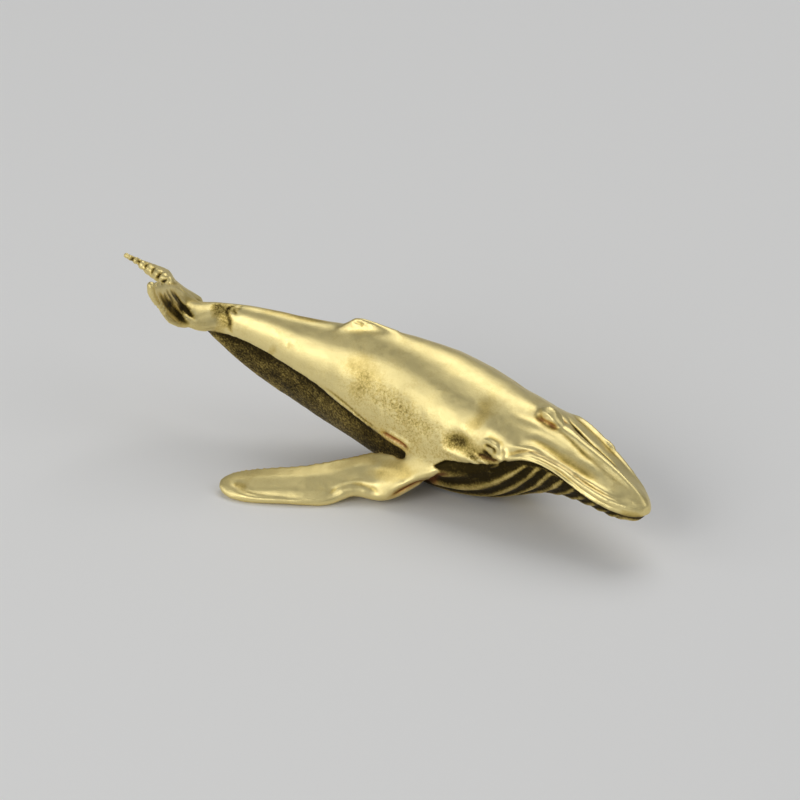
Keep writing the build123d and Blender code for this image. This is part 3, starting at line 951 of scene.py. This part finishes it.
def tidy_labels(labels):
    """Evens the borders between castings, and gives islands to the casting round them."""
    for _ in range(label_rounds):
        shares = np.stack([mean_of_neighbours((labels == i) * 1.0) for i in range(len(castings))], axis=1)
        shares[np.arange(len(labels)), labels] += label_hold
        labels = shares.argmax(axis=1)
    same = edges[labels[edges[:, 0]] == labels[edges[:, 1]]]
    island = island_numbers(len(labels), same)
    for number in range(len(castings)):
        own = np.flatnonzero(labels == number)
        largest = np.bincount(island[own]).argmax()
        stray = own[island[own] != largest]
        if len(stray):
            others = [i for i in range(len(castings)) if i != number]
            labels[stray] = np.array(others)[reach[stray][:, others].argmin(axis=1)]
    return labels


casting = tidy_labels(casting)
votes = np.stack([(casting[quads] == number).sum(axis=1) for number in range(len(castings))], axis=1)
face_casting = votes.argmax(axis=1)


def rim_edges(faces):
    """The directed edges round the open rim of some faces."""
    directed = np.concatenate([faces[:, [i, (i + 1) % 4]] for i in range(4)])
    keys = {tuple(edge) for edge in directed.tolist()}
    return [edge for edge in keys if edge[::-1] not in keys]


def rim_centres(number, rim_corners):
    """Points inside a casting that its rim is closed to, and which of them each corner goes to."""
    if number not in (back, belly):
        return skin[rim_corners].mean(axis=0)[None], np.zeros(len(rim_corners), int)
    places = np.linspace(*closing_ends, closing_points)
    centres = body_point(places, np.zeros(len(places)), np.interp(places, rim_place, rim_height))
    return centres, np.abs(share[rim_corners][:, None] - places[None]).argmin(axis=1)


def cut_piece(number):
    """One casting, cut out of the skin and closed from its rim to the middle."""
    name, slot = castings[number], casting_slots[number]
    chosen = quads[face_casting == number]
    rim = sorted(rim_edges(chosen))
    used = np.unique(chosen)
    place = np.full(len(skin), -1)
    place[used] = np.arange(len(used))
    rim_corners = sorted({edge[0] for edge in rim})
    centres, nearest = rim_centres(number, rim_corners)
    centre_of = dict(zip(rim_corners, nearest.tolist()))
    corners = np.concatenate([skin[used], centres]) * millimetre
    faces = [tuple(quad) for quad in place[chosen].tolist()]
    fan = []
    for start, end in rim:
        one, two = centre_of[start], centre_of[end]
        fan.append((int(place[end]), int(place[start]), len(used) + one))
        step = 1 if two > one else -1
        for i in range(one, two, step):
            fan.append((int(place[end]), len(used) + i, len(used) + i + step))
    piece = new_object("cast_" + name, corners, faces + fan)
    piece.data.polygons.foreach_set("use_smooth", [True] * len(faces) + [False] * len(fan))
    loop_normals = np.concatenate([skin_normals[chosen].reshape(-1, 3), np.zeros((3 * len(fan), 3))])
    piece.data.normals_split_custom_set(loop_normals.tolist())
    for title, values in (("tarnish_and_painted_light", tarnish_and_painted_light), ("copper", copper), ("grain", grain)):
        attribute = piece.data.attributes.new(title, "FLOAT", "POINT")
        padded = np.append(values[used], np.zeros(len(centres)))
        attribute.data.foreach_set("value", padded.astype(np.float32))
    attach(piece, "root")
    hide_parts(name)
    return piece


pieces = [cut_piece(number) for number in range(len(castings))]


def new_material(name):
    material = bpy.data.materials.new(name)
    material.use_nodes = True
    return material, material.node_tree.nodes, material.node_tree.links


def brass(name, darker, rougher):
    """Cast brass: rubbed bright on its edges, brown with tarnish and painted shade in its hollows and
    under the belly, lighter where highlights are painted, and coppery at the braze.
    """
    material, nodes, links = new_material(name)
    shader = nodes["Principled BSDF"]
    shader.inputs["Metallic"].default_value = 1.0
    place = nodes.new("ShaderNodeTexCoord")

    def attribute(title):
        node = nodes.new("ShaderNodeAttribute")
        node.attribute_name = title
        return node.outputs["Fac"]

    def noise_of(size, detail, rough):
        node = nodes.new("ShaderNodeTexNoise")
        node.inputs["Scale"].default_value = 1 / (size * millimetre)
        node.inputs["Detail"].default_value = detail
        node.inputs["Roughness"].default_value = rough
        links.new(place.outputs["Object"], node.inputs["Vector"])
        return node.outputs["Fac"]

    def number_of(value, low, high, to_low, to_high):
        node = nodes.new("ShaderNodeMapRange")
        ends = {"From Min": low, "From Max": high, "To Min": to_low, "To Max": to_high}
        for title, number in ends.items():
            node.inputs[title].default_value = number
        links.new(value, node.inputs["Value"])
        return node.outputs["Result"]

    def worked_out(operation, one, two):
        node = nodes.new("ShaderNodeMath")
        node.operation = operation
        for socket, value in zip(node.inputs, (one, two)):
            if isinstance(value, float):
                socket.default_value = value
            else:
                links.new(value, socket)
        return node.outputs["Value"]

    def mixed(share, one, two):
        node = nodes.new("ShaderNodeMix")
        node.data_type = "RGBA"
        links.new(share, node.inputs["Factor"])
        for socket, value in ((node.inputs["A"], one), (node.inputs["B"], two)):
            if isinstance(value, tuple):
                socket.default_value = value
            else:
                links.new(value, socket)
        return node.outputs["Result"]

    cloud = number_of(noise_of(*cloud_noise), *noise_ends, -cloud_strength, cloud_strength)
    speckle = number_of(noise_of(*speckle_noise), *speckle_ends, -speckle_strength, speckle_strength)
    speckle = worked_out("MULTIPLY", speckle, worked_out("ADD", attribute("grain"), least_speckle))
    # Tarnish together with painted shade and painted highlights sets how dark the brass is
    dark = worked_out("ADD", worked_out("ADD", attribute("tarnish_and_painted_light"), cloud), speckle)
    dark = worked_out("ADD", dark, darker)
    tones = nodes.new("ShaderNodeValToRGB")
    (_, brightest), *between, (_, darkest) = brass_tones
    tones.color_ramp.elements[0].color = brightest
    tones.color_ramp.elements[1].color = darkest
    for position, tone in between:
        tones.color_ramp.elements.new(position).color = tone
    links.new(dark, tones.inputs["Fac"])
    colour = mixed(attribute("copper"), tones.outputs["Color"], braze_colour)
    links.new(colour, shader.inputs["Base Color"])

    satin = number_of(noise_of(*satin_noise), *noise_ends, *satin_roughness)
    rough = number_of(dark, 0.0, 1.0, polished_roughness + rougher, tarnished_roughness + rougher)
    links.new(worked_out("ADD", rough, satin), shader.inputs["Roughness"])

    pitted = noise_of(*pitted_noise)
    brushed = noise_of(*brushed_noise)
    bump = nodes.new("ShaderNodeBump")
    bump.inputs["Distance"].default_value = pit_depth * millimetre
    links.new(pitted, bump.inputs["Height"])
    links.new(number_of(attribute("grain"), 0.0, 1.0, *pit_strengths), bump.inputs["Strength"])
    fine = nodes.new("ShaderNodeBump")
    fine.inputs["Distance"].default_value = brush_depth * millimetre
    fine.inputs["Strength"].default_value = brush_strength
    links.new(brushed, fine.inputs["Height"])
    links.new(bump.outputs["Normal"], fine.inputs["Normal"])
    links.new(fine.outputs["Normal"], shader.inputs["Normal"])
    return material


brass_materials = {slot: brass(*settings) for slot, settings in slot_brass.items()}
for piece, slot in zip(pieces, casting_slots):
    piece.data.materials.append(brass_materials[slot])


def floor():
    material, nodes, links = new_material("pale_floor")
    shader = nodes["Principled BSDF"]
    shader.inputs["Base Color"].default_value = floor_colour
    shader.inputs["Roughness"].default_value = floor_roughness
    half = floor_size / 2
    corners = [(-half, -half, 0), (half, -half, 0), (half, half, 0), (-half, half, 0)]
    plane = new_object("floor", corners, [(0, 1, 2, 3)])
    plane.data.materials.append(material)


def area_lamp(name, place, size, power):
    data = bpy.data.lights.new(name, "AREA")
    data.shape = "DISK"
    data.size = size
    data.energy = power
    lamp = bpy.data.objects.new(name, data)
    bpy.context.scene.collection.objects.link(lamp)
    lamp.location = Vector(place)
    lamp.rotation_euler = (Vector(lamp_target) - Vector(place)).to_track_quat("-Z", "Y").to_euler()


def camera():
    data = bpy.data.cameras.new("camera")
    data.lens = camera_lens
    data.sensor_width = camera_sensor
    data.clip_start = nearest_seen
    made = bpy.data.objects.new("camera", data)
    bpy.context.scene.collection.objects.link(made)
    place = Vector(camera_place) * millimetre
    target = Vector(camera_target) * millimetre
    made.location = place
    made.rotation_euler = (target - place).to_track_quat("-Z", "Y").to_euler()
    bpy.context.scene.camera = made


floor()
camera()
for lamp_settings in lamps:
    area_lamp(*lamp_settings)

world = bpy.data.worlds.new("studio")
world.use_nodes = True
background = world.node_tree.nodes["Background"]
background.inputs["Color"].default_value = sky_colour
background.inputs["Strength"].default_value = sky_strength
bpy.context.scene.world = world
bpy.context.scene.view_settings.view_transform = "Standard"
